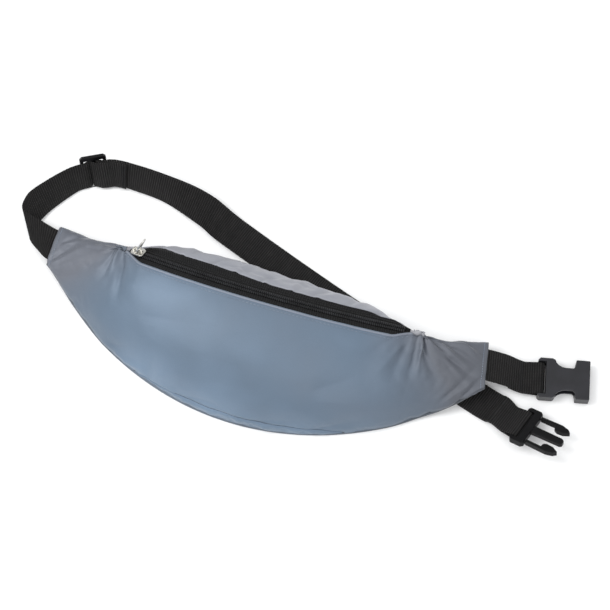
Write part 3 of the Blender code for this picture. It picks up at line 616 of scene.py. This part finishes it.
def bottom_gusset():
    columns, uvs = [], []
    for x in spread(-GUSSET_HALF * 0.985, GUSSET_HALF * 0.985, 150):
        top = gusset_top(x) - SEAM_GAP
        column = []
        for k in spread(0, top, 16):
            middle = math.sin(math.pi * k / top)
            pucker = 1.1 * MM * rumple(Vector((x, 0, k * 4 * MM)), 6 * MM, 1.3) * middle
            column.append(cloth_point(x, k) + surface_normal(x, k) * pucker)
        columns.append(column)
        uvs.append([(x, j * 0.0012) for j in range(len(column))])
    data = panel_mesh("gusset_cloth", columns, uvs)
    obj = link("gusset_cloth", data, CLOTH)
    thicken(obj, CLOTH_SKIN)
    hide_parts("bottom_gusset")


def back_panel():
    columns, uvs = [], []
    for x in spread(-HALF_LENGTH, HALF_LENGTH, 150):
        ring = section(x)
        top = ring[0].y - 0.9 * MM
        ys = spread(ring[0].x - 0.8 * MM, ring[-1].x + 0.8 * MM, 44)
        columns.append([draped(x, y, 0) + Vector((0, 0, top)) for y in ys])
        uvs.append([(x, y) for y in ys])
    data = panel_mesh("back_cloth", columns, uvs)
    obj = link("back_cloth", data, BACK_CLOTH)
    thicken(obj, BACK_SKIN)
    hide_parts("back_panel")


def end_tab(name, side, cad, material):
    """A folded tab of cloth over each end of the zip, pinched where it is sewn."""
    columns, uvs = [], []
    xs = spread(side * (NOTCH - 3.2 * MM), side * (NOTCH + 4.5 * MM), 16)[::side]
    for i, x in enumerate(xs):
        column = []
        for j, k in enumerate(spread(5.45, 6.75, 20)):
            normal = surface_normal(x, k)
            fold = 1.1 * MM * abs(math.sin(math.pi * (0.15 * i + 0.11 * j)))
            fold += 0.4 * MM * math.sin(math.pi * i / 16)
            column.append(cloth_point(x, k) + normal * (0.9 * MM + fold))
        columns.append(column)
        uvs.append([(x, j * 0.001) for j in range(len(column))])
    data = panel_mesh(name, columns, uvs)
    obj = link(name, data, material)
    thicken(obj, CLOTH_SKIN)
    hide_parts(cad)


# ---------------------------------------------------------------- zip

def zip_tape(name, side, cad):
    """A woven tape with two raised cords along it, dipping under the panel that it is sewn to."""
    profile = [(0.95, 0), (2.6, 0), (2.8, 0.35), (3.3, 0.6), (3.8, 0.35), (4.0, 0), (4.9, 0), (5.1, 0.4),
               (5.7, 0.7), (6.3, 0.4), (6.5, 0), (7.3, 0), (7.5, 0.3), (8.0, 0.5), (8.5, 0.2), (8.8, -0.15)]
    profile += [(9.4, -0.5), (10.4, -1.3), (12.2, -2.3)] if side < 0 else []
    columns, uvs = [], []
    for angle in spread(-ZIP_ANGLE * 0.978, ZIP_ANGLE * 0.978, 150):
        place = zip_frame(angle)
        x = ZIP_RADIUS * math.sin(angle)
        narrow = 1 - 0.74 * closing(x)
        sway = 0.25 * MM * rumple(Vector((x, side * 0.02, 0)), 13 * MM, 6.0)
        points = [(w * MM * side * narrow, TAPE / 2 + h * MM + (sway if w > 2 else 0)) for w, h in profile]
        column = [place @ Vector((0, w, h)) for w, h in points]
        run = [(w * MM, angle * ZIP_RADIUS) for w, h in profile]
        if side > 0:
            for i, k in enumerate(spread(UPPER_LIP + 0.05, UPPER_LIP + 1.1, 8)):
                depth = (0.5 + 3.2 * smooth((k - rear_lip(x) + 0.12) / 0.3)) * MM
                column.append(surface(x, k) + drawn_in(x, k) - surface_normal(x, k) * depth)
                run.append(((10.4 + 1.8 * i) * MM, angle * ZIP_RADIUS))
        columns.append(column[::side])
        uvs.append(run[::side])
    data = panel_mesh(name, columns, uvs)
    obj = link(name, data, TAPE_BLACK)
    thicken(obj, TAPE_SKIN)
    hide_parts(cad)


def zip_teeth(name, side, cad):
    """The zip's coil: a row of rounded turns, out of step with the other side's."""
    shape = bmesh.new()
    count = int(2 * 0.95 * ZIP_ANGLE * ZIP_RADIUS / TOOTH_PITCH)
    height = TAPE / 2 + 1.2 * MM
    size = Matrix.Diagonal((*TOOTH, 1))
    for i in range(count):
        angle = -0.95 * ZIP_ANGLE + (i + (0.5 if side > 0 else 0)) * TOOTH_PITCH / ZIP_RADIUS
        place = zip_frame(angle) @ Matrix.Translation((0, side * 1.55 * MM, height))
        bmesh.ops.create_uvsphere(shape, u_segments=8, v_segments=6, radius=1.0, matrix=place @ size)
    obj = link(name, mesh_from(shape, name), TEETH)
    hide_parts(cad)


# ---------------------------------------------------------------- webbing

class Lay:
    """The ruled surface that a strap lies on, from pairs of edge points along it."""

    def __init__(self, edges, straight=(), steps=14):
        self.points = []
        pairs = [(Vector(a), Vector(b)) for a, b in edges]
        self.length_at = []
        total = 0.0
        for i in range(len(pairs) - 1):
            four = [pairs[max(i - 1, 0)], pairs[i], pairs[i + 1], pairs[min(i + 2, len(pairs) - 1)]]
            self.length_at.append(total)
            for step in range(steps):
                t = step / steps
                one, other = (catmull(*(pair[side] for pair in four), t) for side in (0, 1))
                if i in straight:
                    one, other = (four[1][side].lerp(four[2][side], t) for side in (0, 1))
                if self.points:
                    total += ((one + other) / 2 - self.points[-1][1]).length
                self.points.append((total, (one + other) / 2, (one - other).normalized()))
        last = (pairs[-1][0] + pairs[-1][1]) / 2
        total += (last - self.points[-1][1]).length
        self.points.append((total, last, (pairs[-1][0] - pairs[-1][1]).normalized()))
        self.length_at.append(total)

    def at(self, s):
        """(middle, across, along, up) at a length s along the strap."""
        i = 0
        while i < len(self.points) - 2 and self.points[i + 1][0] < s:
            i += 1
        (s0, a, across0), (s1, b, across1) = self.points[i], self.points[i + 1]
        t = (s - s0) / (s1 - s0)
        across = across0.lerp(across1, min(max(t, 0), 1)).normalized()
        along = self.direction(i).lerp(self.direction(i + 1), min(max(t, 0), 1)).normalized()
        return a + (b - a) * t, across, along, along.cross(across).normalized()

    def direction(self, i):
        low, high = max(i - 1, 0), min(i + 1, len(self.points) - 1)
        return (self.points[high][1] - self.points[low][1]).normalized()


def strap(name, lay, path, cad):
    """Webbing along (length, height) pairs over its lay, with rounded selvedges."""
    half, thick = BELT_WIDTH / 2, WEBBING / 2
    ring = [(half - 0.5 * MM, thick), (half - 0.1 * MM, thick * 0.72), (half, 0),
            (half - 0.1 * MM, -thick * 0.72), (half - 0.5 * MM, -thick)]
    ring += [(0, -thick * 0.96)] + [(-w, h) for w, h in reversed(ring)] + [(0, thick * 0.96)]
    shape = bmesh.new()
    layer = shape.loops.layers.uv.new("UVMap")
    rings, run = [], [0.0]
    for i, (s, height) in enumerate(path):
        middle, across, along, up = lay.at(s)
        (s0, h0), (s1, h1) = path[max(i - 1, 0)], path[min(i + 1, len(path) - 1)]
        way = Vector((s1 - s0, h1 - h0)).normalized()
        face = up * way.x - along * way.y
        centre = middle + up * height
        if i:
            run.append(run[-1] + math.hypot(s - path[i - 1][0], height - path[i - 1][1]))
        rings.append([shape.verts.new(centre + across * w + face * h) for w, h in ring])
    count = len(ring)
    for i in range(len(rings) - 1):
        for j in range(count):
            n = (j + 1) % count
            face = shape.faces.new((rings[i][j], rings[i][n], rings[i + 1][n], rings[i + 1][j]))
            for loop, (corner, at) in zip(face.loops, ((j, i), (n, i), (n, i + 1), (j, i + 1))):
                loop[layer].uv = (ring[corner][0], run[at])
    shape.faces.new(rings[0][::-1])
    shape.faces.new(rings[-1])
    bmesh.ops.recalc_face_normals(shape, faces=shape.faces)
    obj = link(name, mesh_from(shape, name), WEBBING_BLACK)
    obj.data.set_sharp_from_angle(angle=math.radians(60))
    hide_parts(cad)


def arc(centre, radius, start, end, count):
    """(length, height) points round a bar, between two angles in degrees."""
    turns = [math.radians(a) for a in spread(start, end, count)]
    return [(centre[0] + radius * math.cos(a), centre[1] + radius * math.sin(a)) for a in turns]


def joint(name):
    return next(j for j in frame["joints"] if j["name"] == name)


def buckle_place(name, along):
    """The place of a buckle's bar: local Y along the bar, which is the hinge that it swings on."""
    hinge = joint(name)
    y = Vector(hinge["axis"]).normalized()
    x = (along - y * along.dot(y)).normalized()
    return Matrix.Translation(Vector(hinge["pos_m"])) @ Matrix((x, y, x.cross(y))).transposed().to_4x4()


MALE_PLACE = buckle_place("plug_swing", Vector((0.945, -0.23, 0.23)))
FEMALE_PLACE = buckle_place("socket_swing", Vector((0.9763, 0.2164, 0)))
# The long belt's two edges, in pairs along it and in millimetres, as in the CAD: the fold at the left seam,
# the arc where it stands on edge, and the straight run under the bag.
BELT_EDGES = [
    ((-163, 43.2, 9.0), (-163, 17.8, 9.0)),
    ((-176, 43.5, 10.4), (-176.5, 17.5, 10.4)),
    ((-192.5, 48, 12.7), (-185, 21, 9.3)),
    ((-210, 54.5, 17), (-192.5, 26, 6.5)),
    ((-210, 61.5, 20), (-195, 40.5, 2)),
    ((-203.5, 68.5, 22.6), (-191.5, 57.5, 1)),
    ((-188, 86, 24), (-180, 77, 0.9)),
    ((-175.7, 96.3, 24.2), (-170.9, 87.5, 0.9)),
    ((-155.2, 107.2, 24.2), (-150.4, 98.4, 0.9)),
    ((-132, 108.9, 24.2), (-132.8, 98.7, 0.9)),
    ((-101.5, 107.5, 22.3), (-104.2, 95.8, 0.9)),
    ((-70, 105.5, 14), (-75, 84.5, 0.85)),
    ((-40.5, 96.2, 2.2), (-48.5, 72.3, 0.8)),
    ((52.9, 62.3, 0.8), (44.7, 38.4, 0.8)),
    ((176, 21.4, 0.8), (167.6, -2.4, 0.8)),
    ((195.5, 15.9, 1.6), (187, -7.9, 4.6)),
]
ADJUSTER_RULING, ADJUSTER_AT = 7, 11.5 * MM
ADJUSTER_BAR = 1.5 * MM
ADJUSTER_LOOP = ADJUSTER_BAR + 0.3 * MM + WEBBING / 2
ADJUSTER_UNDER = ADJUSTER_LOOP + WEBBING + 0.3 * MM


def edges_round(middle, across):
    return middle + across * BELT_WIDTH / 2, middle - across * BELT_WIDTH / 2


def long_belt_lay():
    up, along, across = (MALE_PLACE.col[i].to_3d() for i in (2, 0, 1))
    base = MALE_PLACE.translation - up * LAYER / 2
    edges = [tuple(Vector(p) * MM for p in pair) for pair in BELT_EDGES]
    edges.append(edges_round(base - along * 9 * MM, across))
    edges.append(edges_round(base + along * BELT_PAST_BAR, across))
    return Lay(edges, straight=(ADJUSTER_RULING, len(edges) - 2))


def long_belt(lay):
    """From the left seam through the adjuster and under the bag, round the plug's bar and back."""
    bar = lay.length_at[-1] - BELT_PAST_BAR
    slider = lay.length_at[ADJUSTER_RULING] + ADJUSTER_AT
    middle = (slider, -LOOP_RADIUS)

    def at_slider(x, height):
        return (slider + x * MM, height * MM)

    path = [(s, 0) for s in spread(0, slider - 12 * MM, 130)]
    path += [at_slider(-9.5, 0), at_slider(-7.6, -0.15), at_slider(-6.0, -1.1)]
    path += arc(middle, ADJUSTER_UNDER, 172, 368, 24)
    path += [at_slider(6.0, -1.1), at_slider(7.6, -0.15), at_slider(9.5, 0)]
    outward = spread(slider + 13 * MM, bar - 10 * MM, 170)
    path += [(s, 0) for s in outward]
    path += arc((bar, LAYER / 2), LOOP_RADIUS, -112, 112, 22)
    path += [(s, LAYER) for s in reversed(outward)]
    path += [at_slider(9.5, 1.7), at_slider(6.2, 1.55), at_slider(4.3, 0.7), at_slider(3.1, -0.9)]
    path += arc(middle, ADJUSTER_LOOP, 0, -245, 24)
    path += [at_slider(1.3, 1.1), at_slider(4.0, 2.75), at_slider(7.5, 3.35)]
    path += [(s, 2 * LAYER) for s in spread(slider + 10 * MM, slider + 26 * MM, 12)]
    strap("long_strap", lay, path, "long_belt")


def short_belt():
    """From the right seam round the socket's bar. Returns its lay and where the bar is along it."""
    along, across = (FEMALE_PLACE.col[i].to_3d() for i in (0, 1))
    base = FEMALE_PLACE.translation + Vector((0, 0, LAYER / 2))
    edges = [
        (Vector((161.2, 45.8, 13.5)) * MM, Vector((165.6, 18.1, 14.2)) * MM),
        (Vector((170.4, 46.8, 14.4)) * MM, Vector((175.9, 18.4, 14.9)) * MM),
        (Vector((185.5, 47, 10.6)) * MM, Vector((190, 21.5, 10.6)) * MM),
        edges_round(base - along * 12 * MM, across),
        edges_round(base + along * BELT_PAST_BAR, across),
    ]
    lay = Lay(edges, straight=(len(edges) - 2,))
    bar = lay.length_at[-1] - BELT_PAST_BAR
    path = [(s, 0) for s in spread(0, bar - 10 * MM, 40)]
    path += arc((bar, -LAYER / 2), LOOP_RADIUS, 112, -112, 22)
    path += [(s, -LAYER) for s in spread(bar - 10 * MM, bar - 24 * MM, 10)]
    strap("short_strap", lay, path, "short_belt")
    return lay, bar


# ---------------------------------------------------------------- stitching

def stitches(name, points, material, length=2.2 * MM, cad=None):
    """Stitches laid end to end: one rounded stitch at each (place, direction)."""
    radius = 0.28 * MM
    shape = bmesh.new()
    for place, way in points:
        turn = way.to_track_quat("X", "Z").to_matrix().to_4x4()
        size = Matrix.Diagonal((length / 2, radius, radius, 1))
        bmesh.ops.create_uvsphere(shape, u_segments=8, v_segments=6, radius=1.0,
                                  matrix=Matrix.Translation(place) @ turn @ size)
    obj = link(name, mesh_from(shape, name), material)
    if cad:
        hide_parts(cad)


def lip_piping():
    """The tightly rolled edge that the front panel shows along the zip, paler than the cloth as a painted
    highlight where the fold catches the light.
    """
    columns, uvs = [], []
    for x in spread(-ZIP_HALF, ZIP_HALF, 160):
        edge, normal = cloth_point(x, LIP - 0.02), surface_normal(x, LIP)
        towards = (surface(x, LIP + 0.05) - surface(x, LIP - 0.05)).normalized()
        radius = (0.55 + 0.1 * rumple(edge, 5 * MM, 4.0)) * MM
        columns.append([edge + radius * (normal * math.sin(a) + towards * 1.5 * math.cos(a))
                        for a in spread(math.pi, -0.3, 8)])
        uvs.append([(x, i * 0.0005) for i in range(9)])
    data = panel_mesh("lip_piping", columns, uvs)
    obj = link("lip_piping", data, PIPING_PAINTED_HIGHLIGHT)
    thicken(obj, PIPING_SKIN)


def lip_stitches():
    """The topstitching on the front panel, along the zip."""
    points = []
    pitch = 3.0 * MM
    for i in range(int(2 * ZIP_HALF / pitch)):
        x = -ZIP_HALF + 2 * MM + i * pitch
        here, ahead = (cloth_point(at, LIP - 0.16, proud=0.1 * MM) for at in (x, x + pitch))
        points.append((here, (ahead - here).normalized()))
    stitches("zip_topstitching", points, PALE_THREAD)


def seam_stitches(name, side):
    """The line of stitches that holds the belt in each end seam."""
    points = []
    x = side * (HALF_LENGTH - 3.2 * MM)
    for k in spread(1.2, 9.8, 26):
        here, ahead = (cloth_point(x, at, proud=0.08 * MM) for at in (k, k + 0.05))
        points.append((here, (ahead - here).normalized()))
    stitches(name, points, PALE_THREAD, length=1.4 * MM)


def bartack(name, lay, s, height, cad):
    """Two close rows of stitches across a strap."""
    points = []
    for row in (-0.7 * MM, 0.7 * MM):
        middle, across, along, up = lay.at(s + row)
        for w in spread(-0.43 * BELT_WIDTH, 0.43 * BELT_WIDTH, 18):
            lean = (across + along * (0.5 if row > 0 else -0.5)).normalized()
            points.append((middle + across * w + up * height, lean))
    stitches(name, points, THREAD, length=1.3 * MM, cad=cad)


# ---------------------------------------------------------------- kept frame parts

def dress(name, material):
    slots = frame["nodes"][name].data.materials
    slots.clear()
    slots.append(material)


def kept_parts():
    dress("buckle_socket", PLASTIC)
    for name in ("buckle_plug", "plug_arm_upper", "plug_arm_lower", "belt_adjuster"):
        dress(name, DARK_PLASTIC)
    for name in ("zip_slider", "zip_pull", "zip_stop_left", "zip_stop_right"):
        dress(name, METAL)
    dress("seam_binding", BACK_CLOTH)


# ---------------------------------------------------------------- studio

def floor():
    shape = bmesh.new()
    bmesh.ops.create_grid(shape, x_segments=1, y_segments=1, size=4.0)
    obj = bpy.data.objects.new("floor", mesh_from(shape, "floor"))
    bpy.context.scene.collection.objects.link(obj)
    obj.location.z = -0.0004
    made, _tree, shader = nodes_of("pale_floor")
    shader.inputs["Base Color"].default_value = (0.96, 0.96, 0.96, 1)
    shader.inputs["Roughness"].default_value = 1.0
    obj.data.materials.append(made)


def area_light(name, place, size, power, aim=(0, 0.02, 0.02)):
    data = bpy.data.lights.new(name, "AREA")
    data.shape = "DISK"
    data.size = size
    data.energy = power
    obj = bpy.data.objects.new(name, data)
    obj.location = place
    obj.rotation_mode = "QUATERNION"
    obj.rotation_quaternion = (Vector(aim) - Vector(place)).to_track_quat("-Z", "Y")
    bpy.context.scene.collection.objects.link(obj)


def studio():
    floor()
    world = bpy.data.worlds.new("studio")
    world.use_nodes = True
    background = world.node_tree.nodes["Background"]
    background.inputs["Color"].default_value = (0.98, 0.99, 1.0, 1)
    background.inputs["Strength"].default_value = 0.8
    bpy.context.scene.world = world
    bpy.context.scene.view_settings.view_transform = "Standard"
    area_light("key", (-0.75, -0.2, 1.3), 0.7, 9)
    area_light("fill", (0.5, -0.9, 1.3), 1.2, 6)
    area_light("top", (0.0, 0.3, 1.9), 1.6, 4)


def camera():
    data = bpy.data.cameras.new("camera")
    data.sensor_width = 36
    data.lens = 36 * CAMERA_DISTANCE / CAMERA_WIDTH
    obj = bpy.data.objects.new("camera", data)
    flat, up = math.cos(CAMERA_ELEVATION), math.sin(CAMERA_ELEVATION)
    back = Vector((math.sin(CAMERA_AZIMUTH) * flat, -math.cos(CAMERA_AZIMUTH) * flat, up))
    obj.location = CAMERA_TARGET + back * CAMERA_DISTANCE
    obj.rotation_mode = "QUATERNION"
    obj.rotation_quaternion = (-back).to_track_quat("-Z", "Y")
    bpy.context.scene.collection.objects.link(obj)
    bpy.context.scene.camera = obj


def make():
    front_panel()
    top_panel()
    bottom_gusset()
    back_panel()
    end_tab("end_tab_left", -1, "zip_end_tab_left", CLOTH)
    end_tab("end_tab_right", 1, "zip_end_tab_right", TAB_CLOTH)
    zip_tape("tape_front", -1, "zip_tape_front")
    zip_tape("tape_rear", 1, "zip_tape_rear")
    zip_teeth("teeth_front", -1, "zip_coil_front")
    zip_teeth("teeth_rear", 1, "zip_coil_rear")
    lay = long_belt_lay()
    long_belt(lay)
    short_lay, bar = short_belt()
    slider = lay.length_at[ADJUSTER_RULING] + ADJUSTER_AT
    on_top = WEBBING / 2 + 0.2 * MM
    bartack("adjuster_stitching", lay, slider + 24 * MM, 2 * LAYER + on_top, "adjuster_loop_bartack")
    bartack("socket_stitching", short_lay, bar - 15 * MM, on_top, "socket_loop_bartack")
    lip_piping()
    lip_stitches()
    seam_stitches("left_seam_stitching", -1)
    seam_stitches("right_seam_stitching", 1)
    kept_parts()
    studio()
    camera()


make()
bpy.context.view_layer.update()
